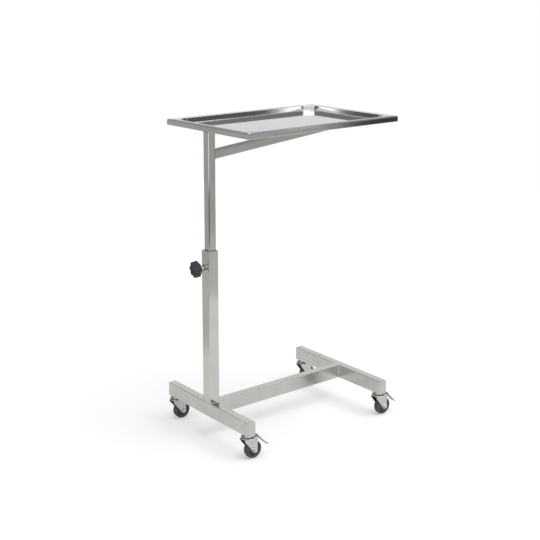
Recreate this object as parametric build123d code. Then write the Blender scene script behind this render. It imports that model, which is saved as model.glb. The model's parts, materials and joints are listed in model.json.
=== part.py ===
from build123d import *
import math
import os

# Instrument stand on four braked castors: an H-shaped base of rectangular tube, a square column
# beside one rail, a telescoping mast clamped by a star knob, and a tray that lies in a cantilevered frame.
# X runs from the column towards the far rail, Y along the rails and Z up. Lengths are in millimetres.

# Fits and cuts
cut_past = 1           # how far a cut runs past the face it opens
slide_gap = 0.3        # between pieces that move past each other
pin_gap = 0.05         # radial, on a pin or shaft that turns
seat_gap = 0.3         # between the tray flange and its frame

# Base
rail_length = 460
rail_width = 30
rail_height = 50
rail_wall = 1.5
rail_pitch = 600
tube_round = 2.5
cap_thickness = 2

# Castors
wheel_diameter = 62
wheel_width = 22
castor_height = 86
castor_inset = 23
trail = 21
stem_diameter = 12
stem_reach = 16
stem_head_across = 19
stem_head_height = 7
nut_height = 10
crown_diameter = 43
crown_thickness = 3
crown_drop = 11
crown_chamfer = 1
cup_diameter = 39
cup_chamfer = 2
cup_neck_diameter = 27
cup_neck_height = 2.5
leg_thickness = 2.5
leg_gap = 26
leg_tip_radius = 9.5
leg_shoulder_radius = 6
leg_lead = 14
leg_back = 25
axle_diameter = 8
axle_head_across = 13
axle_head_height = 5
axle_end = 1.5
sleeve_wall = 2
hub_boss_diameter = 20
hub_rim_radius = 22
hub_web = 6
rim_lip = 4
rim_inset = 1.5
tread_crown = 1.5
shoulder_chamfer = 3

# Brake pedal
pivot_back = 28
pivot_drop = 17
pivot_diameter = 5
pin_head_lip = 1.5
pin_head_height = 1.5
barrel_diameter = 10
pedal_width = 19
pedal_thickness = 3
pedal_rise = 12
pedal_knee = 7
pedal_drop_reach = 15
pedal_drop = 7
pedal_reach = 41
pedal_fall = 32
pedal_lip = 4
pedal_lip_drop = 1.2
pedal_bend = 3
shoe_width = 5
shoe_lean = 24
brake_gap = 0.5

# Column and mast
column_size = 40
column_wall = 2
column_top = 670
mast_size = 28
mast_wall = 1.5
mast_offset = 2
mast_insertion = 200
bush_height = 45
bush_recess = 2
glide_height = 25
glide_spigot = 20

# Clamp
clamp_drop = 56
boss_diameter = 20
boss_length = 8
boss_chamfer = 1
stud_diameter = 10
stud_tip_diameter = 6
pad_diameter = 13
pad_thickness = 4
pad_socket = 2
knob_standoff = 31
knob_thickness = 14
knob_diameter = 57
knob_lobes = 8
scallop_radius = 8
scallop_depth = 4.5
lobe_round = 3
knob_edge_chamfer = 2.5
knob_hub_diameter = 26
knob_hub_length = 12

# Tray and its frame
tray_length = 640
tray_width = 440
tray_top = 1080
tray_sheet = 1.2
tray_depth = 18
flange_width = 22
flange_corner = 3
pan_corner = 45
pan_bend = 4
rim_bend = 1.5
frame_size = 18
frame_wall = 1.2

# Brace
brace_size = 28
brace_wall = 1.5
brace_drop = 60
brace_rise_angle = 5.6

# Places worked out from the sizes above
wheel_radius = wheel_diameter / 2
rail_bottom = castor_height
rail_top = rail_bottom + rail_height
rail_centre = rail_width / 2
far_centre = rail_centre + rail_pitch
far_inner_face = rail_pitch
column_centre = column_size / 2
mast_centre = column_centre + mast_offset
mast_face = mast_centre - mast_size / 2
mast_back = mast_centre + mast_size / 2
frame_top = tray_top - tray_sheet - seat_gap
frame_bottom = frame_top - frame_size
mast_bottom = column_top - mast_insertion
tray_start = mast_face
tray_end = tray_start + tray_length
tray_middle = (tray_start + tray_end) / 2
clamp_height = column_top - clamp_drop
crown_top = rail_bottom - crown_drop + crown_thickness
crown_bottom = crown_top - crown_thickness


def box_between(low, high):
    size = [b - a for a, b in zip(low, high)]
    middle = [(a + b) / 2 for a, b in zip(low, high)]
    return Pos(*middle) * Box(*size)


def tube_profile(plane, width, height, wall):
    outer = RectangleRounded(width, height, tube_round)
    inner = Rectangle(width - 2 * wall, height - 2 * wall)
    return plane * (outer - inner)


def square_tube(plane, width, height, wall, length):
    return extrude(tube_profile(plane, width, height, wall), length)


def cylinder_along(axis_direction, start, radius, length):
    return extrude(Plane(origin=start, z_dir=axis_direction) * Circle(radius), length)


def hexagon_along(axis_direction, start, across, length):
    shape = RegularPolygon(across / 2, 6, major_radius=False)
    return extrude(Plane(origin=start, z_dir=axis_direction) * shape, length)


# Base

def rail(centre_x):
    end = rail_length / 2 - cap_thickness
    plane = Plane(origin=(centre_x, end, rail_bottom + rail_height / 2), x_dir=(1, 0, 0), z_dir=(0, -1, 0))
    body = square_tube(plane, rail_width, rail_height, rail_wall, 2 * end)
    for side in (-1, 1):
        start = (centre_x, side * stem_y, rail_bottom - cut_past)
        body -= cylinder_along((0, 0, 1), start, stem_diameter / 2, rail_wall + 2 * cut_past)
    return body


def rail_caps(centre_x):
    plates = []
    for side in (-1, 1):
        edge = side * (rail_length / 2)
        plane = Plane(origin=(centre_x, edge, rail_bottom + rail_height / 2), x_dir=(1, 0, 0), z_dir=(0, -side, 0))
        plates.append(extrude(plane * RectangleRounded(rail_width, rail_height, tube_round), cap_thickness))
    return Compound(children=plates)


def connecting_bar():
    plane = Plane(origin=(rail_width, 0, rail_bottom + rail_height / 2), x_dir=(0, 1, 0), z_dir=(1, 0, 0))
    return square_tube(plane, rail_width, rail_height, rail_wall, far_inner_face - rail_width)


# Column

def outer_tube():
    plane = Plane(origin=(column_centre, 0, rail_top))
    body = square_tube(plane, column_size, column_size, column_wall, column_top - rail_top)
    start = (-cut_past, 0, clamp_height)
    hole = cylinder_along((1, 0, 0), start, pad_diameter / 2 + slide_gap, column_wall + 2 * cut_past)
    return body - hole


def guide_bush():
    inside = column_size - 2 * column_wall
    top = column_top - bush_recess
    bottom = clamp_height - bush_height / 2
    low = Plane(origin=(column_centre, 0, bottom))
    body = extrude(low * Rectangle(inside, inside), top - bottom)
    opening = mast_size + 2 * slide_gap
    bore = Plane(origin=(mast_centre, 0, bottom)) * RectangleRounded(opening, opening, tube_round)
    body -= extrude(bore, top - bottom)
    seat = cylinder_along((1, 0, 0), (0, 0, clamp_height), pad_diameter / 2 + slide_gap, mast_face)
    return body - seat


def clamp_boss():
    body = cylinder_along((-1, 0, 0), (0, 0, clamp_height), boss_diameter / 2, boss_length)
    body = chamfer(body.edges().sort_by(Axis.X)[0], boss_chamfer)
    start = (cut_past, 0, clamp_height)
    return body - cylinder_along((-1, 0, 0), start, stud_diameter / 2 + pin_gap, boss_length + 2 * cut_past)


# Clamp screw

pad_face = mast_face - slide_gap / 2
pad_start = pad_face - pad_thickness


def clamp_pad():
    body = cylinder_along((1, 0, 0), (pad_start, 0, clamp_height), pad_diameter / 2, pad_thickness)
    return body - cylinder_along((1, 0, 0), (pad_start, 0, clamp_height), stud_tip_diameter / 2 + pin_gap, pad_socket)


def clamp_stud():
    shoulder = pad_start - slide_gap
    length = shoulder + knob_standoff
    body = cylinder_along((-1, 0, 0), (shoulder, 0, clamp_height), stud_diameter / 2, length)
    tip_length = pad_socket + slide_gap - pin_gap
    return body + cylinder_along((1, 0, 0), (shoulder, 0, clamp_height), stud_tip_diameter / 2, tip_length)


def star_knob():
    plane = Plane(origin=(-knob_standoff, 0, clamp_height), x_dir=(0, 1, 0), z_dir=(-1, 0, 0))
    outline = Circle(knob_diameter / 2)
    scallop_centre = knob_diameter / 2 + scallop_radius - scallop_depth
    for index in range(knob_lobes):
        angle = 360 * (index + 0.5) / knob_lobes
        outline -= Rot(0, 0, angle) * Pos(scallop_centre, 0) * Circle(scallop_radius)
    outline = fillet(outline.vertices(), lobe_round)
    body = extrude(plane * outline, knob_thickness)
    body = chamfer(body.edges().group_by(Axis.X)[0], knob_edge_chamfer)
    body = chamfer(body.edges().group_by(Axis.X)[-1], knob_edge_chamfer / 2)
    hub_start = (-knob_standoff, 0, clamp_height)
    body += cylinder_along((1, 0, 0), hub_start, knob_hub_diameter / 2, knob_hub_length)
    return body - cylinder_along((1, 0, 0), hub_start, stud_diameter / 2, knob_hub_length)


# Mast

def inner_tube():
    plane = Plane(origin=(mast_centre, 0, mast_bottom))
    return square_tube(plane, mast_size, mast_size, mast_wall, frame_bottom - mast_bottom)


def mast_glide():
    inside = column_size - 2 * column_wall - 2 * slide_gap
    plug = mast_size - 2 * mast_wall
    plane = Plane(origin=(column_centre, 0, mast_bottom - glide_height))
    body = extrude(plane * RectangleRounded(inside, inside, 1), glide_height)
    spigot = Plane(origin=(mast_centre, 0, mast_bottom)) * RectangleRounded(plug, plug, 1)
    return body + extrude(spigot, glide_spigot)


def brace():
    start_z = frame_bottom - brace_drop
    slope = math.radians(brace_rise_angle)
    run = (tray_end - mast_back) / math.cos(slope) + brace_size
    axis = (math.cos(slope), 0, math.sin(slope))
    origin = (mast_back, 0, start_z - brace_size / 2 / math.cos(slope))
    back = brace_size
    start = tuple(o - back * a for o, a in zip(origin, axis))
    plane = Plane(origin=start, x_dir=(0, 1, 0), z_dir=axis)
    body = square_tube(plane, brace_size, brace_size, brace_wall, run + back)
    room = box_between((mast_back, -brace_size, 0), (tray_end, brace_size, frame_bottom))
    return body & room


def frame_member(side):
    half_length = tray_length / 2
    half_width = tray_width / 2
    middle_z = frame_bottom + frame_size / 2
    across = half_length if side in ("near", "far") else half_width
    along = half_width if side in ("near", "far") else half_length
    bar_plane = Plane(origin=(-along, across - frame_size / 2, 0), x_dir=(0, 1, 0), z_dir=(1, 0, 0))
    bar = square_tube(bar_plane, frame_size, frame_size, frame_wall, 2 * along)
    corners = [(-along, across), (along, across), (along - frame_size, across - frame_size)]
    corners.append((-along + frame_size, across - frame_size))
    mitre = extrude(Plane.XY.offset(-frame_size) * make_face(Polyline(*corners, close=True)), 2 * frame_size)
    turn = {"back": 0, "near": 90, "front": 180, "far": 270}[side]
    return Pos(tray_middle, 0, middle_z) * (Rot(0, 0, turn) * (bar & mitre))


# Tray

def tray():
    pan_length = tray_length - 2 * flange_width
    pan_width = tray_width - 2 * flange_width
    top = Plane(origin=(tray_middle, 0, tray_top))
    flange = extrude(top * RectangleRounded(tray_length, tray_width, flange_corner), -tray_sheet)
    outside = RectangleRounded(pan_length + 2 * tray_sheet, pan_width + 2 * tray_sheet, pan_corner + tray_sheet)
    shell = extrude(top * outside, -(tray_depth + tray_sheet))
    shell = fillet(shell.edges().group_by(Axis.Z)[0], pan_bend + tray_sheet)
    hollow = extrude(top * RectangleRounded(pan_length, pan_width, pan_corner), -tray_depth)
    hollow = fillet(hollow.edges().group_by(Axis.Z)[0], pan_bend)
    body = flange + shell - hollow
    rim = [e for e in body.edges().group_by(Axis.Z)[-1] if e.bounding_box().size.X < pan_length + 1]
    rim = [e for e in rim if abs(e.center().X - tray_middle) < pan_length / 2 + 1]
    rim = [e for e in rim if abs(e.center().Y) < pan_width / 2 + 1]
    return fillet(rim, rim_bend)


# Castors, each drawn about its stem axis and then moved to a rail end

stem_y = rail_length / 2 - castor_inset
leg_face = leg_gap / 2 + leg_thickness
sleeve_radius = axle_diameter / 2 + sleeve_wall
axle_place = (trail, 0, wheel_radius)
pivot_height = rail_bottom - pivot_drop
cup_bottom = crown_top + slide_gap
neck_bottom = rail_bottom - cup_neck_height


def swivel_cup():
    body = cylinder_along((0, 0, 1), (0, 0, cup_bottom), cup_diameter / 2, neck_bottom - cup_bottom)
    body = chamfer(body.edges().group_by(Axis.Z)[-1], cup_chamfer)
    body += cylinder_along((0, 0, 1), (0, 0, neck_bottom), cup_neck_diameter / 2, cup_neck_height)
    return body - cylinder_along((0, 0, 1), (0, 0, cup_bottom), stem_diameter / 2, castor_height)


def stem_bolt():
    head_top = crown_bottom - slide_gap
    body = hexagon_along((0, 0, -1), (0, 0, head_top), stem_head_across, stem_head_height)
    return body + cylinder_along((0, 0, 1), (0, 0, head_top), stem_diameter / 2, rail_bottom + stem_reach - head_top)


def stem_nut():
    start = (0, 0, rail_bottom + rail_wall)
    body = hexagon_along((0, 0, 1), start, stem_head_across, nut_height)
    return body - cylinder_along((0, 0, 1), start, stem_diameter / 2, nut_height)


def fork():
    crown = cylinder_along((0, 0, 1), (0, 0, crown_bottom), crown_diameter / 2, crown_thickness)
    crown = chamfer(crown.edges().group_by(Axis.Z)[-1], crown_chamfer)
    shoulder_z = crown_bottom + crown_thickness / 2 - leg_shoulder_radius
    circles = [Pos(trail, wheel_radius) * Circle(leg_tip_radius)]
    circles.append(Pos(-leg_lead, shoulder_z) * Circle(leg_shoulder_radius))
    circles.append(Pos(leg_back, shoulder_z) * Circle(leg_shoulder_radius))
    outline = make_hull([edge for circle in circles for edge in circle.edges()])
    outline -= Pos(trail, wheel_radius) * Circle(axle_diameter / 2)
    outline -= Pos(pivot_back, pivot_height) * Circle(pivot_diameter / 2)
    body = crown
    for start in (leg_face, -leg_gap / 2):
        side_plane = Plane(origin=(0, start, 0), x_dir=(1, 0, 0), z_dir=(0, -1, 0))
        body += extrude(side_plane * outline, leg_thickness)
    start = (0, 0, crown_bottom - cut_past)
    return body - cylinder_along((0, 0, 1), start, stem_diameter / 2 + pin_gap, crown_thickness + 2 * cut_past)


def axle_bolt():
    x, y, z = axle_place
    length = 2 * leg_face + axle_head_height + axle_end
    shank = cylinder_along((0, 1, 0), (x, -leg_face, z), axle_diameter / 2, length)
    head = hexagon_along((0, -1, 0), (x, -leg_face, z), axle_head_across, axle_head_height)
    nut = hexagon_along((0, 1, 0), (x, leg_face, z), axle_head_across, axle_head_height)
    return shank + head + nut


def axle_sleeve():
    x, y, z = axle_place
    body = cylinder_along((0, 1, 0), (x, -leg_gap / 2, z), sleeve_radius, leg_gap)
    return body - cylinder_along((0, 1, 0), (x, -leg_gap / 2, z), axle_diameter / 2, leg_gap)


def brake_pin():
    start = (pivot_back, -leg_face, pivot_height)
    body = cylinder_along((0, 1, 0), start, pivot_diameter / 2, 2 * leg_face)
    for side in (-1, 1):
        head_start = (pivot_back, side * leg_face, pivot_height)
        body += cylinder_along((0, side, 0), head_start, pivot_diameter / 2 + pin_head_lip, pin_head_height)
    return body


def turned_about_axle(outline):
    plane = Plane(origin=axle_place, x_dir=(1, 0, 0), z_dir=(0, 0, 1))
    axis = Axis(axle_place, (0, 1, 0))
    return revolve(plane * outline, axis)


def wheel_hub():
    bore = sleeve_radius + pin_gap
    boss = hub_boss_diameter / 2
    half_boss = leg_gap / 2 - slide_gap
    half_web = hub_web / 2
    half_rim = wheel_width / 2 - rim_inset
    lip = hub_rim_radius - rim_lip
    points = [(bore, -half_boss), (boss, -half_boss), (lip, -half_web), (hub_rim_radius, -half_rim)]
    points += [(x, -y) for x, y in reversed(points)]
    return turned_about_axle(make_face(Polyline(*points, close=True)))


def tyre():
    half = wheel_width / 2
    edge = wheel_radius - tread_crown
    side = [(hub_rim_radius, half), (edge - shoulder_chamfer, half), (edge, half - shoulder_chamfer)]
    near_side = Polyline(*[(r, -y) for r, y in side])
    far_side = Polyline(*reversed(side))
    tread = ThreePointArc(near_side @ 1, (wheel_radius, 0), far_side @ 0)
    closing = Line(far_side @ 1, near_side @ 0)
    return turned_about_axle(make_face([*near_side.edges(), tread, *far_side.edges(), closing]))


def brake_pedal():
    half = pedal_width / 2
    pivot = (pivot_back, pivot_height)
    knee = (pivot_back + pedal_knee, pivot_height + pedal_rise)
    step = (knee[0] + pedal_drop_reach, pivot_height - pedal_drop)
    toe = (knee[0] + pedal_reach, pivot_height - pedal_fall)
    tip = (toe[0] + pedal_lip, toe[1] - pedal_lip_drop)
    path = FilletPolyline((pivot_back, pivot_height + pedal_bend), knee, step, toe, tip, radius=pedal_bend)
    side_plane = Plane(origin=(0, half, 0), x_dir=(1, 0, 0), z_dir=(0, -1, 0))
    strap = trace(path, pedal_thickness)
    body = extrude(side_plane * strap, pedal_width)
    body += cylinder_along((0, 1, 0), (pivot[0], -half, pivot[1]), barrel_diameter / 2, pedal_width)
    lean = math.radians(shoe_lean)
    to_axle = math.hypot(pivot_back - trail, pivot_height - wheel_radius)
    corner_reach = to_axle - wheel_radius - brake_gap
    shoe_reach = math.sqrt(corner_reach**2 - (shoe_width / 2) ** 2)
    shoe_end = (pivot[0] + shoe_reach * math.sin(lean), pivot[1] - shoe_reach * math.cos(lean))
    shoe = trace(Line(pivot, shoe_end), shoe_width)
    body += extrude(side_plane * shoe, pedal_width)
    start = (pivot[0], -half - cut_past, pivot[1])
    return body - cylinder_along((0, 1, 0), start, pivot_diameter / 2 + pin_gap, pedal_width + 2 * cut_past)


castor_places = {
    "column_front": (rail_centre, -stem_y),
    "column_back": (rail_centre, stem_y),
    "far_front": (far_centre, -stem_y),
    "far_back": (far_centre, stem_y),
}

nodes = {
    "column_rail": rail(rail_centre),
    "far_rail": rail(far_centre),
    "connecting_bar": connecting_bar(),
    "column_rail_caps": rail_caps(rail_centre),
    "far_rail_caps": rail_caps(far_centre),
    "outer_tube": outer_tube(),
    "guide_bush": guide_bush(),
    "clamp_boss": clamp_boss(),
    "clamp_pad": clamp_pad(),
    "clamp_stud": clamp_stud(),
    "star_knob": star_knob(),
    "inner_tube": inner_tube(),
    "mast_glide": mast_glide(),
    "brace": brace(),
    "tray": tray(),
}
for side in ("near", "far", "front", "back"):
    nodes[f"frame_{side}_member"] = frame_member(side)

castor_pieces = {
    "swivel_cup": swivel_cup(),
    "fork": fork(),
    "axle_bolt": axle_bolt(),
    "axle_sleeve": axle_sleeve(),
    "brake_pin": brake_pin(),
    "wheel_hub": wheel_hub(),
    "tyre": tyre(),
    "brake_pedal": brake_pedal(),
}
for corner, (x, y) in castor_places.items():
    for piece, solid in castor_pieces.items():
        nodes[f"{piece}_{corner}"] = Pos(x, y, 0) * solid
nodes["stem_bolts"] = Compound(children=[Pos(x, y, 0) * stem_bolt() for x, y in castor_places.values()])
nodes["stem_nuts"] = Compound(children=[Pos(x, y, 0) * stem_nut() for x, y in castor_places.values()])

# The origin is on the floor, under the middle of the whole stand
first_x = min(solid.bounding_box().min.X for solid in nodes.values())
last_x = max(solid.bounding_box().max.X for solid in nodes.values())
origin_x = (first_x + last_x) / 2

os.makedirs("parts", exist_ok=True)
for name, solid in nodes.items():
    export_step(Pos(-origin_x, 0, 0) * solid, f"parts/{name}.step")
print("nodes", len(nodes), "origin_x", round(origin_x, 3))
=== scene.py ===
import bpy
import bmesh
import json
import math
from mathutils import Matrix, Vector


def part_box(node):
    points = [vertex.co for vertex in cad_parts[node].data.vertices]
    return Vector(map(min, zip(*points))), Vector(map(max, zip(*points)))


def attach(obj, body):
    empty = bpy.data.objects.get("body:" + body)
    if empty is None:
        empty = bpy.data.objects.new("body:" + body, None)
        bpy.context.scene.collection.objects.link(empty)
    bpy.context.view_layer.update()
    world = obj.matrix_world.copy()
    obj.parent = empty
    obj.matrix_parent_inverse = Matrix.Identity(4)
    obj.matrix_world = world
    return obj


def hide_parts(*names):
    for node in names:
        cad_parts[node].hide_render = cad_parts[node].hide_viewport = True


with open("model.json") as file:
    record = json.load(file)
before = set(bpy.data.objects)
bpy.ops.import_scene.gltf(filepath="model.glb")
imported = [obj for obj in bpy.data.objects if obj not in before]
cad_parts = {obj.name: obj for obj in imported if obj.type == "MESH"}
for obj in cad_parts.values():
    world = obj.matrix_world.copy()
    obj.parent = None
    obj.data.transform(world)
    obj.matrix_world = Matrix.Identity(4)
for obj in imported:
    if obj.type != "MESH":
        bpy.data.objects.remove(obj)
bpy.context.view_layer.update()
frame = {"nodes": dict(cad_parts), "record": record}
nodes = frame["nodes"]
bodyOf = {node: body for body, members in frame["record"]["behaviour"]["bodies"].items() for node in members}
corners = ("column_front", "column_back", "far_front", "far_back")
print("frame loaded", len(nodes), "nodes")


# shader maths

class Wire:  # one output socket, with arithmetic on it
    def __init__(self, tree, socket=None):
        self.tree = tree
        self.socket = socket

    def node(self, kind, settings=None, sockets=None, out=0):
        made = self.tree.nodes.new("ShaderNode" + kind)
        for key, value in (settings or {}).items():
            setattr(made, key, value)
        for key, value in (sockets or {}).items():
            if isinstance(value, Wire):
                self.tree.links.new(value.socket, made.inputs[key])
            else:
                made.inputs[key].default_value = value
        return Wire(self.tree, made.outputs[out])

    def output(self, name):  # another output of the same node
        return Wire(self.tree, self.socket.node.outputs[name])

    def maths(self, operation, first, second=0.0):
        return self.node("Math", {"operation": operation}, {0: first, 1: second})

    def __add__(self, other):
        return self.maths("ADD", self, other)

    def __radd__(self, other):
        return self.maths("ADD", other, self)

    def __sub__(self, other):
        return self.maths("SUBTRACT", self, other)

    def __rsub__(self, other):
        return self.maths("SUBTRACT", other, self)

    def __mul__(self, other):
        return self.maths("MULTIPLY", self, other)

    def __rmul__(self, other):
        return self.maths("MULTIPLY", other, self)

    def __truediv__(self, other):
        return self.maths("DIVIDE", self, other)

    def __pow__(self, other):
        return self.maths("POWER", self, other)

    def __abs__(self):
        return self.maths("ABSOLUTE", self)

    def atLeast(self, other):
        return self.maths("MAXIMUM", self, other)

    def between(self, low, high):  # 0 below low, 1 above high, smooth on the way
        kind = {"interpolation_type": "SMOOTHSTEP"}
        return self.node("MapRange", kind, {"Value": self, "From Min": low, "From Max": high})

    def window(self, low, high, soft):  # 1 between two values, 0 outside
        return self.between(low - soft, low) * (1 - self.between(high, high + soft))

    def towards(self, other, share):  # goes over to the other value as share rises to 1
        return self * (1 - share) + share * other


def newMaterial(name):
    material = bpy.data.materials.new(name)
    material.use_nodes = True
    material.node_tree.nodes.clear()
    return material, Wire(material.node_tree)


def finishMaterial(wire, surface):
    out = wire.tree.nodes.new("ShaderNodeOutputMaterial")
    wire.tree.links.new(surface.socket, out.inputs["Surface"])


def finishMetal(wire, base, roughness, normal):
    finishMaterial(wire, wire.node("BsdfPrincipled", None, {
        "Base Color": base, "Metallic": 1.0, "Roughness": roughness, "Normal": normal}))


even = (1, 1, 1)    # a pattern that isn't stretched


def noise(wire, stretch, scale, detail=3.0, roughness=0.6):
    place = wire.node("TexCoord", out="Object")
    place = wire.node("Mapping", None, {"Vector": place, "Scale": stretch})
    return wire.node("TexNoise", None, {"Vector": place, "Scale": scale, "Detail": detail, "Roughness": roughness})


def mixColour(wire, amount, low, high):
    return wire.node("Mix", {"data_type": "RGBA"}, {0: amount, 6: low, 7: high}, 2)


def bump(wire, height, strength, distance):
    return wire.node("Bump", None, {"Strength": strength, "Distance": distance, "Height": height})


# brushed tube, with soft handling marks

tube = {
    "colour": (0.575, 0.580, 0.551, 1.0),
    "shade": (0.475, 0.480, 0.456, 1.0),
    "mastRoughness": 0.06,
    "baseRoughness": 0.20,
    "grainScale": 900.0,
    "grainShade": 0.55,         # how much the grain changes the colour
    "grainDull": 0.04,          # and the roughness
    "cloudScale": 9.0,
    "cloudShade": 0.6,
    "mottle": (0.35, 0.85),
    "spotScale": 60.0,
    "spots": (0.52, 0.80),
    "spotDull": 0.032,
    "bump": (0.08, 0.0002),
}


def tubeSteel(name, stretch, roughness):
    material, wire = newMaterial(name)
    grain = noise(wire, stretch, tube["grainScale"], 4.0)
    cloud = noise(wire, even, tube["cloudScale"])
    spots = noise(wire, even, tube["spotScale"], 5.0, 0.7)
    shading = (grain * tube["grainShade"] + cloud * tube["cloudShade"]).between(*tube["mottle"])
    dull = roughness + grain * tube["grainDull"] + spots.between(*tube["spots"]) * tube["spotDull"]
    finishMetal(wire, mixColour(wire, shading, tube["colour"], tube["shade"]), dull, bump(wire, grain, *tube["bump"]))
    return material


alongX, alongY, alongZ = (0.02, 1, 1), (1, 0.02, 1), (1, 1, 0.02)
baseGrainX = tubeSteel("baseGrainX", alongX, tube["baseRoughness"])
baseGrainY = tubeSteel("baseGrainY", alongY, tube["baseRoughness"])
mastGrainX = tubeSteel("mastGrainX", alongX, tube["mastRoughness"])
mastGrainY = tubeSteel("mastGrainY", alongY, tube["mastRoughness"])
mastGrainZ = tubeSteel("mastGrainZ", alongZ, tube["mastRoughness"])

# polished tray sheet, with wiping smears and fine scuffs

sheet = {
    "colour": (0.500, 0.516, 0.522, 1.0),
    "shade": (0.470, 0.485, 0.490, 1.0),
    "roughness": 0.045,
    "polishStretch": (0.06, 1, 1),
    "polishScale": 420.0,
    "polishDull": 0.03,
    "smearScale": 7.0,
    "smearShade": (0.35, 0.75),
    "smears": (0.5, 0.8),
    "smearDull": 0.03,
    "scuffScale": 120.0,
    "scuffs": (0.60, 0.85),
    "scuffDull": 0.06,
    "bump": (0.03, 0.0001),
}


def traySteel(name):
    material, wire = newMaterial(name)
    polish = noise(wire, sheet["polishStretch"], sheet["polishScale"])
    smear = noise(wire, even, sheet["smearScale"], 4.0, 0.55)
    scuff = noise(wire, even, sheet["scuffScale"], 6.0, 0.75)
    base = mixColour(wire, smear.between(*sheet["smearShade"]), sheet["colour"], sheet["shade"])
    dull = sheet["roughness"] + polish * sheet["polishDull"]
    dull = dull + scuff.between(*sheet["scuffs"]) * sheet["scuffDull"]
    dull = dull + smear.between(*sheet["smears"]) * sheet["smearDull"]
    finishMetal(wire, base, dull, bump(wire, polish, *sheet["bump"]))
    return material


trayPolish = traySteel("trayPolish")

# weld metal, mottled and heat-tinted

weldFinish = {
    "colour": (0.66, 0.655, 0.63, 1.0),
    "shade": (0.48, 0.47, 0.44, 1.0),
    "heatScale": 40.0,
    "heat": (0.35, 0.7),
    "mottleScale": 300.0,
    "roughness": 0.24,
    "mottleDull": 0.14,
    "bump": (0.2, 0.0003),
}


def weldSteel(name):
    material, wire = newMaterial(name)
    mottle = noise(wire, even, weldFinish["mottleScale"], 5.0, 0.7)
    heat = noise(wire, even, weldFinish["heatScale"], 2.0)
    base = mixColour(wire, heat.between(*weldFinish["heat"]), weldFinish["colour"], weldFinish["shade"])
    dull = weldFinish["roughness"] + mottle * weldFinish["mottleDull"]
    finishMetal(wire, base, dull, bump(wire, mottle, *weldFinish["bump"]))
    return material


weldMetal = weldSteel("weldBead")

# zinc plate, with its spangle

zinc = {
    "plated": ((0.600, 0.608, 0.590, 1.0), (0.455, 0.462, 0.450, 1.0)),
    # painted shade: a darker copy of the plating for the brake pedal
    "pedal": ((0.300, 0.303, 0.295, 1.0), (0.200, 0.202, 0.198, 1.0)),
    "boss": ((0.260, 0.262, 0.255, 1.0), (0.160, 0.162, 0.158, 1.0)),
    "spangleScale": 420.0,
    "spangleShade": 0.35,
    "patchScale": 130.0,
    "patchShade": 0.7,
    "mottle": (0.3, 0.8),
    "patchDull": 0.12,
    "bump": (0.06, 0.0002),
}


def zincSteel(name, colours, roughness):
    material, wire = newMaterial(name)
    place = wire.node("TexCoord", out="Object")
    cells = wire.node("TexVoronoi", None, {"Vector": place, "Scale": zinc["spangleScale"], "Randomness": 1.0}, "Color")
    spangle = wire.node("SeparateColor", None, {"Color": cells})
    patch = noise(wire, even, zinc["patchScale"], 4.0, 0.65)
    shading = (spangle * zinc["spangleShade"] + patch * zinc["patchShade"]).between(*zinc["mottle"])
    dull = roughness + patch * zinc["patchDull"]
    finishMetal(wire, mixColour(wire, shading, *zinc[colours]), dull, bump(wire, patch, *zinc["bump"]))
    return material


zincPlate = zincSteel("zincPlate", "plated", 0.22)
zincBolt = zincSteel("zincBolt", "plated", 0.16)
zincCup = zincSteel("zincCup", "plated", 0.06)
# painted shade: the brake pedal gets a darker copy of the zinc plate
pedalShadedPlate = zincSteel("pedalShadedPlate", "pedal", 0.26)
bossSteel = zincSteel("bossSteel", "boss", 0.30)

# plastics and rubber

moulded = {    # colour and shade, roughness, scale of the grain, its bump
    "knobPlastic": ((0.018, 0.018, 0.019, 1.0), (0.028, 0.028, 0.029, 1.0), 0.36, 1600.0, 0.16),
    "tyreRubber": ((0.038, 0.038, 0.039, 1.0), (0.095, 0.093, 0.089, 1.0), 0.55, 900.0, 0.22),
    "hubPlastic": ((0.115, 0.118, 0.122, 1.0), (0.085, 0.087, 0.091, 1.0), 0.42, 1400.0, 0.10),
    "bushNylon": ((0.300, 0.300, 0.292, 1.0), (0.240, 0.240, 0.235, 1.0), 0.48, 1400.0, 0.08),
}
mouldedWear = {
    "grainShade": 0.4,
    "cloudScale": 45.0,
    "cloudShade": 0.7,
    "mottle": (0.35, 0.8),
    "cloudDull": 0.14,
    "bumpDistance": 0.0003,
    "specular": 0.5,
}


def mouldedFinish(name):
    colour, shade, roughness, grainScale, strength = moulded[name]
    material, wire = newMaterial(name)
    grain = noise(wire, even, grainScale, 4.0)
    cloud = noise(wire, even, mouldedWear["cloudScale"])
    shading = grain * mouldedWear["grainShade"] + cloud * mouldedWear["cloudShade"]
    finishMaterial(wire, wire.node("BsdfPrincipled", None, {
        "Base Color": mixColour(wire, shading.between(*mouldedWear["mottle"]), colour, shade),
        "Roughness": roughness + cloud * mouldedWear["cloudDull"],
        "Normal": bump(wire, grain, strength, mouldedWear["bumpDistance"]),
        "Specular IOR Level": mouldedWear["specular"]}))
    return material


knobPlastic, tyreRubber, hubPlastic, bushNylon = [mouldedFinish(name) for name in moulded]
print("materials ready")


# the CAD nodes' finishes

dressing = {
    "column_rail": baseGrainY, "far_rail": baseGrainY,
    "column_rail_caps": baseGrainX, "far_rail_caps": baseGrainX,
    "connecting_bar": baseGrainX, "brace": mastGrainX,
    "outer_tube": mastGrainZ, "inner_tube": mastGrainZ,
    "frame_near_member": mastGrainY, "frame_far_member": mastGrainY,
    "frame_front_member": mastGrainX, "frame_back_member": mastGrainX,
    "clamp_boss": bossSteel, "clamp_pad": bushNylon, "clamp_stud": zincBolt, "star_knob": knobPlastic,
    "guide_bush": bushNylon, "mast_glide": bushNylon, "tray": trayPolish,
    "stem_bolts": zincBolt, "stem_nuts": zincBolt,
}
castorDressing = {
    "swivel_cup": zincCup, "fork": zincPlate, "axle_bolt": zincBolt, "axle_sleeve": zincBolt,
    "brake_pin": zincBolt, "wheel_hub": hubPlastic, "tyre": tyreRubber, "brake_pedal": pedalShadedPlate,
}


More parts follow.
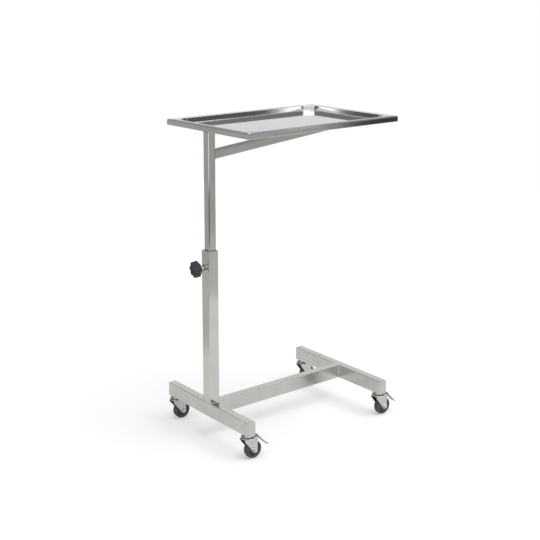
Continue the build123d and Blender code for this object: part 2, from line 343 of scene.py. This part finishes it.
def dress(node, material):
    slots = nodes[node].material_slots
    for place in slots:
        place.material = material
    if not len(slots):
        nodes[node].data.materials.append(material)


for corner in corners:
    for piece, material in castorDressing.items():
        dressing[f"{piece}_{corner}"] = material
for node, material in dressing.items():
    dress(node, material)
print("nodes dressed", len(dressing))


# mesh helpers

def toMesh(bm, name, material):
    mesh = bpy.data.meshes.new(name)
    bm.to_mesh(mesh)
    bm.free()
    mesh.materials.append(material)
    made = bpy.data.objects.new(name, mesh)
    bpy.context.scene.collection.objects.link(made)
    return made


def toPiece(bm, name, material, body, sharpAngle, replaced=(), join=True):
    if join:
        bmesh.ops.remove_doubles(bm, verts=bm.verts, dist=1e-6)
    bmesh.ops.recalc_face_normals(bm, faces=bm.faces)
    piece = toMesh(bm, name, material)
    for polygon in piece.data.polygons:
        polygon.use_smooth = True
    piece.data.set_sharp_from_angle(angle=math.radians(sharpAngle))
    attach(piece, body)
    if replaced:
        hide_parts(*replaced)
    return piece


def spunProfile(bm, profile, centre, axis, steps):  # profile is pairs of radius and place along the axis
    along = Vector(axis).normalized()
    out = along.orthogonal().normalized()
    made = [bm.verts.new(Vector(centre) + out * radius + along * place) for radius, place in profile]
    edges = [bm.edges.new((made[i], made[(i + 1) % len(made)])) for i in range(len(made))]
    bmesh.ops.spin(bm, geom=made + edges, cent=centre, axis=along, angle=math.tau, steps=steps, use_merge=True)


def grownFace(bm, face, keepOld=False):  # extrudes one face, and gives the new one
    made = bmesh.ops.extrude_face_region(bm, geom=[face])
    grown = next(g for g in made["geom"] if isinstance(g, bmesh.types.BMFace))
    if face.is_valid and not keepOld:
        bmesh.ops.delete(bm, geom=[face], context="FACES_ONLY")
    return grown


def turnedUpTo(axis):  # turns the upright direction to an axis
    return Vector((0, 0, 1)).rotation_difference(Vector(axis)).to_matrix().to_4x4()


def midOf(node):
    low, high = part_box(node)
    return (low + high) / 2


# star knob

knob = {
    "lobes": 8,
    "scallop": 0.0042,          # how far the outline dips between two lobes
    "scallopPower": 1.4,
    "thickness": 0.014,
    "steps": 160,
    # share of the outline, height: from the back, round the rim, to the dished face
    "rings": ((0.900, 0.0), (0.955, 0.0004), (0.985, 0.0014), (1.000, 0.0032), (1.000, 0.0096), (0.990, 0.0117),
              (0.965, 0.0130), (0.920, 0.0137), (0.860, 0.0140), (0.560, 0.0140), (0.535, 0.0138),
              (0.520, 0.0132), (0.500, 0.0130), (0.060, 0.0130)),
    "hub": ((0.0052, 0.0), (0.0129, 0.0), (0.0129, 0.0066), (0.0125, 0.0086), (0.0113, 0.0105),
            (0.0100, 0.0117), (0.0092, 0.0120), (0.0052, 0.0120)),
    "hubSteps": 72,
    "rib": (0.0080, 0.0024, 0.0125),    # along the axis, across, outwards
    "ribSunk": 0.001,                   # how deep the rib stands in the knob's back
    "ribStart": 0.0118,
    "ribTip": 0.0018,                   # height left at the rim
    "sharpAngle": 38,
}


def makeKnob():
    low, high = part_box("star_knob")
    centre = (low + high) / 2
    radius = (high.z - low.z) / 2
    bm = bmesh.new()
    made = bmesh.ops.create_circle(bm, cap_ends=True, segments=knob["steps"], radius=radius)["verts"]
    for vert in made:
        wave = 0.5 + 0.5 * math.cos(math.atan2(vert.co.y, vert.co.x) * knob["lobes"])
        vert.co *= (radius - knob["scallop"] * (1 - wave) ** knob["scallopPower"]) / radius
    face = made[0].link_faces[0]
    outline = [v.co.copy() for v in face.verts]
    for vert in face.verts:
        vert.co *= knob["rings"][0][0]
    for index, (share, lift) in enumerate(knob["rings"][1:]):
        face = grownFace(bm, face, keepOld=index == 0)      # the first face closes the back
        for vert in face.verts:
            flat = Vector((vert.co.x, vert.co.y, 0)).normalized()
            edge = min(outline, key=lambda spot: (spot.normalized() - flat).length_squared)
            vert.co = Vector((edge.x * share, edge.y * share, lift))
    turn = Matrix.Rotation(-math.pi / 2, 4, "Y")            # the knob's face looks along -X
    backX = low.x + knob["thickness"]
    place = Matrix.Translation((backX, centre.y, centre.z))
    bmesh.ops.transform(bm, matrix=place @ turn, verts=bm.verts)
    spunProfile(bm, knob["hub"], (backX, centre.y, centre.z), (1, 0, 0), knob["hubSteps"])
    for index in range(knob["lobes"]):                      # ribs behind the lobes, from hub to rim
        rib = bmesh.ops.create_cube(bm, size=1.0)["verts"]
        bmesh.ops.scale(bm, vec=knob["rib"], verts=rib)
        middle = Vector((knob["rib"][0] / 2 - knob["ribSunk"], 0, knob["ribStart"] + knob["rib"][2] / 2))
        bmesh.ops.translate(bm, vec=middle, verts=rib)
        for vert in rib:
            if vert.co.z > middle.z and vert.co.x > middle.x:
                vert.co.x = knob["ribTip"]
        spin = Matrix.Rotation(math.tau * (index + 0.5) / knob["lobes"], 4, "X")
        bmesh.ops.transform(bm, matrix=place @ spin, verts=rib)
    toPiece(bm, "starKnob", knobPlastic, bodyOf["star_knob"], knob["sharpAngle"],
            ("star_knob",), join=False)


makeKnob()
print("knob made")


# tray pan, one pressed sheet

pan = {
    "sheet": 0.0012,
    "flange": 0.022,
    "depth": 0.018,
    "corner": 0.045,
    "outerCorner": 0.003,
    "rimBend": 0.0015,
    "floorBend": 0.0026,
    "draft": 0.14,              # how far the wall leans in, as a share of its drop
    "bendSteps": 6,
    "cornerSteps": 28,
    "hold": 0.0004,             # narrow loops that keep the flats flat
    "sharpAngle": 34,
}


def roundedPlate(bm, length, width, radius, steps):
    made = bmesh.ops.create_grid(bm, x_segments=1, y_segments=1, size=0.5)["verts"]
    bmesh.ops.scale(bm, vec=(length, width, 1), verts=made)
    bmesh.ops.bevel(bm, geom=made, offset=radius, offset_type="OFFSET", affect="VERTICES",
                    segments=steps, profile=0.5, material=-1)


def panMoves():  # how far in and how far down each loop goes, from the flange to the floor
    steps, rim, floor, hold = pan["bendSteps"], pan["rimBend"], pan["floorBend"], pan["hold"]
    turns = [(math.pi / 2 * i / steps, math.pi / 2 * (i + 1) / steps) for i in range(steps)]
    wall = pan["depth"] - rim - floor
    moves = [(hold, 0.0)]
    moves += [(rim * (math.sin(b) - math.sin(a)), -rim * (math.cos(a) - math.cos(b))) for a, b in turns]
    moves += [(drop * pan["draft"], -drop) for drop in (hold, wall - 2 * hold, hold)]
    moves += [(floor * (math.cos(a) - math.cos(b)), -floor * (math.sin(b) - math.sin(a))) for a, b in turns]
    return moves + [(hold * 2, 0.0)]


def makeTray():
    low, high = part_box("tray")
    centre = (low + high) / 2
    length, width = high.x - low.x, high.y - low.y
    inLength = length - 2 * pan["flange"] + 2 * pan["rimBend"]
    inWidth = width - 2 * pan["flange"] + 2 * pan["rimBend"]
    inCorner = pan["corner"] + pan["rimBend"]
    bm = bmesh.new()
    roundedPlate(bm, length, width, pan["outerCorner"], pan["cornerSteps"])
    bmesh.ops.delete(bm, geom=list(bm.faces), context="FACES_ONLY")
    outerEdges = list(bm.edges)
    roundedPlate(bm, inLength, inWidth, inCorner, pan["cornerSteps"])
    face = bm.faces[:][0]
    bmesh.ops.bridge_loops(bm, edges=outerEdges + [e for e in bm.edges if e not in outerEdges])
    for thick, drop in panMoves():
        bmesh.ops.inset_region(bm, faces=[face], thickness=thick, use_even_offset=True)
        bmesh.ops.translate(bm, vec=(0, 0, drop), verts=list(face.verts))
    straight = inCorner + pan["hold"]
    for reach, across in ((inLength / 2 - straight, Vector((1, 0, 0))), (inWidth / 2 - straight, Vector((0, 1, 0)))):
        for side in (-1, 1):                                # loops where the corners' arcs begin
            every = bm.verts[:] + bm.edges[:] + bm.faces[:]
            bmesh.ops.bisect_plane(bm, geom=every, plane_co=across * reach * side, plane_no=across)
    bmesh.ops.translate(bm, vec=(centre.x, centre.y, high.z), verts=bm.verts)
    bmesh.ops.triangulate(bm, faces=[f for f in bm.faces if len(f.verts) > 4])
    piece = toPiece(bm, "trayPan", trayPolish, bodyOf["tray"], pan["sharpAngle"], ("tray",))
    if max(piece.data.polygons, key=lambda p: p.area).normal.z < 0:
        piece.data.flip_normals()
    wall = piece.modifiers.new("sheet", "SOLIDIFY")
    wall.thickness = pan["sheet"]
    wall.offset = -1
    wall.use_even_offset = True


makeTray()
print("tray made")


# castor wheels

wheel = {
    "steps": 72,
    # share of the way from rim to tread, and from the middle to the side face
    "side": ((0.000, 0.85), (0.035, 0.94), (0.150, 0.99), (0.320, 1.00), (0.370, 0.97), (0.450, 0.97), (0.500, 0.99),
             (0.650, 0.96), (0.780, 0.89), (0.865, 0.79), (0.915, 0.66), (0.935, 0.56), (0.900, 0.52), (0.900, 0.47),
             (0.955, 0.43), (0.990, 0.20)),
    "sharpAngle": 40,
}


def makeTyre(corner):
    node = f"tyre_{corner}"
    low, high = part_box(node)
    hubLow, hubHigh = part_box(f"wheel_hub_{corner}")
    tread, half, rim = (high.z - low.z) / 2, (high.y - low.y) / 2, (hubHigh.z - hubLow.z) / 2
    side = [(rim + share * (tread - rim), out * half) for share, out in wheel["side"]]
    profile = side + [(tread, 0.0)] + [(r, -y) for r, y in reversed(side)]
    bm = bmesh.new()
    spunProfile(bm, profile, midOf(node), (0, 1, 0), wheel["steps"])
    toPiece(bm, f"tyreMoulded_{corner}", tyreRubber, bodyOf[node], wheel["sharpAngle"], (node,))


# axle bolts, with a washer and a hexagon head on each side

axle = {
    "across": 0.013,
    "head": 0.0040,
    "headEdge": 0.0006,
    "washer": 0.0010,
    "washerRadius": 0.0085,
    "washerEdge": 0.0002,
    "washerBore": 0.0041,
    "washerSteps": 48,
    "shank": 0.0039,
    "shankSteps": 40,
    "shankShort": 0.0002,       # how much the shank stays inside the heads
    "sharpAngle": 30,
}


def hexHead(bm, centre, axis):
    radius = axle["across"] / math.sqrt(3)
    made = bmesh.ops.create_cone(bm, cap_ends=True, segments=6, radius1=radius, radius2=radius,
                                 depth=axle["head"])["verts"]
    rims = list(dict.fromkeys(e for v in made for e in v.link_edges if all(u.co.z > 0 for u in e.verts)))
    cut = bmesh.ops.bevel(bm, geom=rims, offset=axle["headEdge"], offset_type="OFFSET", affect="EDGES",
                          segments=3, profile=0.5, material=-1)
    every = {v for v in made if v.is_valid} | {v for v in cut["verts"] if v.is_valid}
    place = Matrix.Translation(Vector(centre) + Vector(axis) * (axle["head"] / 2))
    bmesh.ops.transform(bm, matrix=place @ turnedUpTo(axis), verts=list(every))


def makeAxle(corner):
    node = f"axle_bolt_{corner}"
    low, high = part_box(node)
    centre = midOf(f"tyre_{corner}")
    outer, edge, bore, thick = axle["washerRadius"], axle["washerEdge"], axle["washerBore"], axle["washer"]
    ring = [(bore, 0.0), (outer - edge, 0.0), (outer, edge), (outer, thick - edge), (outer - edge, thick),
            (bore, thick)]
    face = centre.y - low.y - axle["head"] - thick          # outer face of the fork leg
    bm = bmesh.new()
    for side in (-1, 1):
        spunProfile(bm, ring, (centre.x, centre.y + side * face, centre.z), (0, side, 0), axle["washerSteps"])
        hexHead(bm, (centre.x, centre.y + side * (face + thick), centre.z), (0, side, 0))
    shank = bmesh.ops.create_cone(bm, cap_ends=True, segments=axle["shankSteps"], radius1=axle["shank"],
                                  radius2=axle["shank"], depth=high.y - low.y - axle["shankShort"])["verts"]
    place = Matrix.Translation((centre.x, (low.y + high.y) / 2, centre.z))
    bmesh.ops.transform(bm, matrix=place @ Matrix.Rotation(math.pi / 2, 4, "X"), verts=shank)
    toPiece(bm, f"axleBolt_{corner}", zincBolt, bodyOf[node], axle["sharpAngle"], (node,), join=False)


# dark ring under the swivel cup: painted shade, a dark ring put where the castor head lies in shadow

shadeRing = {
    "ring": ((0.0197, 0.0), (0.0207, 0.0), (0.0209, 0.0003), (0.0207, 0.0038), (0.0202, 0.0042), (0.0197, 0.0042)),
    "below": 0.0003,
    "steps": 64,
    "sharpAngle": 35,
}


def makeShadeRing(corner):
    low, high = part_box(f"swivel_cup_{corner}")
    centre = (low + high) / 2
    bm = bmesh.new()
    spunProfile(bm, shadeRing["ring"], (centre.x, centre.y, low.z - shadeRing["below"]), (0, 0, 1), shadeRing["steps"])
    # painted shade: the dark ring takes the black knob plastic
    toPiece(bm, f"swivelShadeRing_{corner}", knobPlastic, bodyOf[f"fork_{corner}"], shadeRing["sharpAngle"])


for corner in corners:
    makeTyre(corner)
    makeAxle(corner)
    makeShadeRing(corner)
print("castor pieces made")


# collar of the guide bush, flush with the column's top

collar = {
    "wall": 0.0021,
    "gap": 0.0002,
    "round": 0.0004,
    "lip": 0.0003,
    "sharpAngle": 40,
}


def makeCollar():
    tubeLow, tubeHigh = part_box("outer_tube")
    mastLow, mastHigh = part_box("inner_tube")
    bushLow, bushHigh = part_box("guide_bush")
    bm = bmesh.new()
    loops = []
    for low, high, grow in ((tubeLow, tubeHigh, -collar["wall"]), (mastLow, mastHigh, collar["gap"])):
        made = bmesh.ops.create_grid(bm, x_segments=1, y_segments=1, size=0.5)["verts"]
        bmesh.ops.scale(bm, vec=(high.x - low.x + 2 * grow, high.y - low.y + 2 * grow, 1), verts=made)
        bmesh.ops.translate(bm, vec=((low.x + high.x) / 2, (low.y + high.y) / 2, bushHigh.z), verts=made)
        bmesh.ops.delete(bm, geom=[made[0].link_faces[0]], context="FACES_ONLY")
        loops += list(dict.fromkeys(e for v in made for e in v.link_edges))
    bmesh.ops.bridge_loops(bm, edges=loops)
    grown = bmesh.ops.extrude_face_region(bm, geom=bm.faces[:])["geom"]
    raised = [g for g in grown if isinstance(g, bmesh.types.BMVert)]
    bmesh.ops.translate(bm, vec=(0, 0, tubeHigh.z - bushHigh.z - collar["lip"]), verts=raised)
    rims = [e for e in bm.edges if all(v in raised for v in e.verts)]
    bmesh.ops.bevel(bm, geom=rims, offset=collar["round"], offset_type="OFFSET", affect="EDGES",
                    segments=3, profile=0.5, material=-1)
    toPiece(bm, "bushCollar", bushNylon, bodyOf["guide_bush"], collar["sharpAngle"])


makeCollar()
print("collar made")


# clamp stud with its thread

stud = {
    "radius": 0.005,
    "pitch": 0.0015,
    "depth": 0.0006,
    "crest": (0.42, 0.58),      # where the thread's crest begins and ends, as shares of the pitch
    "start": 0.0004,
    "plain": 0.0018,            # plain end in the pad
    "plainRadius": 0.003,
    "steps": 40,
    "sharpAngle": 50,
}


def makeStud():
    low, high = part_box("clamp_stud")
    centre = (low + high) / 2
    start = low.x + stud["start"]
    count = int((high.x - stud["plain"] - start) / stud["pitch"])
    end = count * stud["pitch"]
    root = stud["radius"] - stud["depth"]
    profile = [(0.0, 0.0)]
    for index in range(count):
        place = index * stud["pitch"]
        profile += [(root, place)] + [(stud["radius"], place + stud["pitch"] * share) for share in stud["crest"]]
    profile += [(root, end), (stud["plainRadius"], end), (stud["plainRadius"], high.x - start), (0.0, high.x - start)]
    bm = bmesh.new()
    spunProfile(bm, profile, (start, centre.y, centre.z), (1, 0, 0), stud["steps"])
    toPiece(bm, "studThread", zincBolt, bodyOf["clamp_stud"], stud["sharpAngle"], ("clamp_stud",))


makeStud()
print("clamp stud made")


# weld beads

welds = {
    "radius": 0.0016,
    "pitch": 0.0022,
    "ripple": 0.16,             # how much a ripple shrinks before the next one
    "step": 0.0004,
    "round": 10,
    "end": 0.6,                 # share of the radius at both ends of a bead
    "ringSteps": 48,
    "barShare": 0.9,
    "headShare": 0.8,
    "bossShare": 0.7,
    "margins": (0.001, 0.002, 0.003),    # how far a bead stops before an edge
    "braceHeight": 0.0281,      # brace's height where it meets the mast
    "sharpAngle": 60,
}


def straightWeld(bm, start, end, radius):
    along = Vector(end) - Vector(start)
    length = along.length
    made = bmesh.ops.create_circle(bm, cap_ends=True, segments=welds["round"], radius=radius * welds["end"])["verts"]
    face = made[0].link_faces[0]
    every = set(made)
    count = int(length / welds["step"])
    for index in range(1, count + 1):
        face = grownFace(bm, face, keepOld=index == 1)      # the first face closes the start
        place = index * length / count
        phase = (place / welds["pitch"]) % 1.0
        swell = welds["end"] if index == count else 1 - welds["ripple"] * phase ** 2
        for vert in face.verts:
            flat = Vector((vert.co.x, vert.co.y, 0)).normalized() * radius * swell
            vert.co = Vector((flat.x, flat.y, place))
        every.update(face.verts)
    bmesh.ops.transform(bm, matrix=Matrix.Translation(Vector(start)) @ turnedUpTo(along), verts=list(every))


def ringWeld(bm, centre, axis, ringRadius, radius):
    steps = max(welds["ringSteps"], int(math.tau * ringRadius / welds["step"] / 2))
    turns = [math.tau * i / welds["round"] for i in range(welds["round"])]
    profile = [(ringRadius + radius * math.cos(turn), radius * math.sin(turn)) for turn in turns]
    spunProfile(bm, profile, centre, axis, steps)


def toWeldPiece(bm, name, node):
    toPiece(bm, name, weldMetal, bodyOf[node], welds["sharpAngle"], join=False)


def makeBaseWelds():
    rail, far, bar, column, boss = [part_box(name) for name in (
        "column_rail", "far_rail", "connecting_bar", "outer_tube", "clamp_boss")]
    bead = welds["radius"]
    near, wide, _ = welds["margins"]
    bm = bmesh.new()
    for y in (column[0].y, column[1].y):                     # column foot on the rail
        straightWeld(bm, (rail[0].x + wide, y, rail[1].z), (rail[1].x - near, y, rail[1].z), bead)
    straightWeld(bm, (column[1].x, bar[0].y + wide, bar[1].z), (column[1].x, bar[1].y - wide, bar[1].z), bead)
    for x in (rail[1].x, far[0].x):                          # connecting bar on both rails
        for y in (bar[0].y, bar[1].y):
            straightWeld(bm, (x, y, bar[0].z + wide), (x, y, bar[1].z - wide), bead * welds["barShare"])
    mid = midOf("clamp_boss")
    ringWeld(bm, (boss[1].x, mid.y, mid.z), (1, 0, 0), (boss[1].z - boss[0].z) / 2, bead * welds["bossShare"])
    toWeldPiece(bm, "baseWelds", "column_rail")


def makeMastWelds():
    mast, nearSide, farSide, brace = [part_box(name) for name in (
        "inner_tube", "frame_near_member", "frame_far_member", "brace")]
    bead = welds["radius"]
    near, wide, wider = welds["margins"]
    top, under = mast[1].z, farSide[0].z
    bm = bmesh.new()
    for y in (mast[0].y, mast[1].y):                         # mast head under the frame
        straightWeld(bm, (mast[0].x + wide, y, top), (nearSide[1].x - near, y, top), bead * welds["headShare"])
    for z in (brace[0].z, brace[0].z + welds["braceHeight"]):    # brace against the mast
        straightWeld(bm, (mast[1].x, mast[0].y + wider, z), (mast[1].x, mast[1].y - wider, z), bead)
    for y in (brace[0].y, brace[1].y):                       # brace end under the far member
        straightWeld(bm, (farSide[0].x + near, y, under), (farSide[1].x - wider, y, under), bead * welds["headShare"])
    toWeldPiece(bm, "mastWelds", "inner_tube")


makeBaseWelds()
makeMastWelds()
print("welds made")


# floor, light and view

studio = {
    "floorRadius": 4.6,
    "floorSteps": 128,
    "floorColour": (0.88, 0.88, 0.88, 1.0),
    "floorLift": 0.27,
    "sky": 0.55,
    "sunPower": 1.25,
    "sunAngle": 50,
    "sunTilt": (0.30, 0.22, 0.0),
}
# what the metal mirrors; turns are degrees to the right of the backdrop, which stands behind the object
mirrored = {
    "backdrop": (0.591, 0.806),
    # the floor's glow for glossy rays is a painted reflection: a painted pool of light near the stand and painted
    # shade on the camera's side
    "foot": (-0.305, 0.0),              # the column's foot
    "pool": (0.24, -0.32),              # middle of the bright floor, from the foot
    "poolEdge": (1.15, 1.45),
    "poolLift": 0.19,
    "fadeEdge": (2.1, 3.0),
    "fadeGain": 0.15,
    "low": 0.55,                        # floor far from the stand
    "dim": (2.6, 2.8),                  # shaded floor on the camera's side
    "dimSide": (0.38, 0.55),
    "dimLevel": 0.03,
    "horizon": (-0.05, 0.02),
    "right": (0.15, 0.40),              # walls right of the backdrop, low and high up
    "highUp": (0.18, 0.34),
    "left": (-70, 0, 5.0),
    "leftLevel": 0.50,
    "back": (14, 22),
    "backLevel": 0.92,
    "front": (115, 135),
    "frontLevel": (1.2, 3.0),           # low and high up
    "frontLow": 1.25,                   # below the horizon
    "notch": (95.0, 100.3, 0.1),
    "notchLevel": 0.05,
    "strips": ((102.3, 103.8), (-79.4, -78.4)),
    "stripSoft": 0.15,
    "stripLevel": 2.8,
    "ceiling": (0.55, 0.85),
}
white = (1, 1, 1, 1)


def rays(wire):  # camera rays, and the rays that metal or glass sends on
    seen = wire.node("LightPath", out="Is Camera Ray")
    return seen, seen.output("Is Glossy Ray").atLeast(seen.output("Is Transmission Ray"))


def lengthOf(x, y):
    return (x * x + y * y) ** 0.5


def makeFloor():
    material, wire = newMaterial("floorPaper")
    seen, glossy = rays(wire)
    matt = wire.node("BsdfDiffuse", None, {"Color": studio["floorColour"]})
    lift = wire.node("Emission", None, {"Color": white, "Strength": studio["floorLift"]})
    lit = wire.node("AddShader", None, {0: matt, 1: lift})
    # painted reflection: glossy rays see the floor glow, brighter in a painted pool of light near the stand and dark
    # in painted shade on the camera's side
    pool = wire.node("Emission", None, {"Color": white, "Strength": mirrored["poolLift"]})
    pool = wire.node("AddShader", None, {0: matt, 1: pool})
    x = wire.node("SeparateXYZ", None, {"Vector": wire.node("TexCoord", out="Object")})
    awayX, awayY = x - mirrored["foot"][0], x.output("Y") - mirrored["foot"][1]
    fromFoot = lengthOf(awayX, awayY)
    fromPool = lengthOf(awayX - mirrored["pool"][0], awayY - mirrored["pool"][1])
    level = mirrored["low"] + mirrored["fadeGain"] * (1 - fromPool.between(*mirrored["fadeEdge"]))
    backX, backY = mirrored["backdrop"]
    facing = (awayX * -backX + awayY * -backY) / fromFoot
    shaded = fromFoot.between(*mirrored["dim"]) * facing.between(*mirrored["dimSide"])
    far = wire.node("Emission", None, {"Color": white, "Strength": level.towards(mirrored["dimLevel"], shaded)})
    near = 1 - fromPool.between(*mirrored["poolEdge"])
    reflected = wire.node("MixShader", None, {0: near, 1: far, 2: pool})
    direct = wire.node("MixShader", None, {0: seen, 1: matt, 2: lit})
    finishMaterial(wire, wire.node("MixShader", None, {0: glossy, 1: direct, 2: reflected}))
    bm = bmesh.new()
    bmesh.ops.create_circle(bm, cap_ends=True, segments=studio["floorSteps"], radius=studio["floorRadius"])
    toMesh(bm, "floorPaper", material)


def roomLevel(wire):  # brightness of the mirrored room, by direction
    x = wire.node("SeparateXYZ", None, {"Vector": wire.node("TexCoord", out="Generated")})
    y, z = x.output("Y"), x.output("Z")
    backX, backY = mirrored["backdrop"]
    turn = wire.maths("ARCTAN2", x * backY - y * backX, x * backX + y * backY) * math.degrees(1)
    either = abs(turn)
    back = 1 - either.between(*mirrored["back"])
    front = either.between(*mirrored["front"])
    up = z.between(*mirrored["highUp"])
    lower, upper = mirrored["right"]
    high = lower * (1 - up) + upper * up
    high = high.towards(mirrored["leftLevel"], turn.window(*mirrored["left"]))
    high = high.towards(mirrored["backLevel"], back)
    lower, upper = mirrored["frontLevel"]
    high = high.towards(lower * (1 - up) + upper * up, front)
    for first, last in mirrored["strips"]:
        strip = turn.window(first, last, mirrored["stripSoft"]) * (1 - up)
        high = high.towards(mirrored["stripLevel"], strip)
    high = high.towards(mirrored["backLevel"], z.between(*mirrored["ceiling"]))
    low = mirrored["low"] + front * (mirrored["frontLow"] - mirrored["low"])
    low = low.towards(mirrored["notchLevel"], turn.window(*mirrored["notch"]))
    return low.towards(high, z.between(*mirrored["horizon"]))


def makeWorld():
    world = bpy.data.worlds.new("studioWorld")
    bpy.context.scene.world = world
    world.use_nodes = True
    world.node_tree.nodes.clear()
    wire = Wire(world.node_tree)
    seen, glossy = rays(wire)
    backdrop = wire.node("Background", None, {"Color": white, "Strength": 1.0})
    room = wire.node("Background", None, {"Color": white, "Strength": roomLevel(wire)})
    sky = wire.node("Background", None, {"Color": white, "Strength": studio["sky"]})
    around = wire.node("MixShader", None, {0: glossy, 1: sky, 2: room})
    whole = wire.node("MixShader", None, {0: seen, 1: around, 2: backdrop})
    out = wire.tree.nodes.new("ShaderNodeOutputWorld")
    wire.tree.links.new(whole.socket, out.inputs["Surface"])


def makeLight():
    lamp = bpy.data.lights.new("overhead", "SUN")
    lamp.energy = studio["sunPower"]
    lamp.angle = math.radians(studio["sunAngle"])
    light = bpy.data.objects.new("overhead", lamp)
    light.rotation_euler = studio["sunTilt"]
    bpy.context.scene.collection.objects.link(light)


view = {
    "place": (-2.26452, -2.6970, 1.5427),
    "yaw": 0.6332,
    "pitch": -0.2751,
    "roll": -0.0088,
    "focal": 1046.6,            # pixels
    "middle": (215, 270),
    "image": 540,
    "sensor": 36,
}


def makeCamera():
    yaw, pitch, roll, image = view["yaw"], view["pitch"], view["roll"], view["image"]
    ahead = Vector((math.sin(yaw) * math.cos(pitch), math.cos(yaw) * math.cos(pitch), math.sin(pitch)))
    level = Vector((math.cos(yaw), -math.sin(yaw), 0))
    upward = level.cross(ahead)
    right = level * math.cos(roll) + upward * math.sin(roll)
    up = upward * math.cos(roll) - level * math.sin(roll)
    lens = bpy.data.cameras.new("camera")
    lens.sensor_width = view["sensor"]
    lens.lens = view["focal"] / image * view["sensor"]
    lens.shift_x = (image / 2 - view["middle"][0]) / image
    lens.shift_y = (view["middle"][1] - image / 2) / image
    camera = bpy.data.objects.new("camera", lens)
    turned = Matrix((right, up, -ahead)).transposed().to_4x4()
    camera.matrix_world = Matrix.Translation(view["place"]) @ turned
    bpy.context.scene.collection.objects.link(camera)
    bpy.context.scene.camera = camera


makeFloor()
makeWorld()
makeLight()
makeCamera()
bpy.context.scene.view_settings.view_transform = "Standard"
print("studio ready")
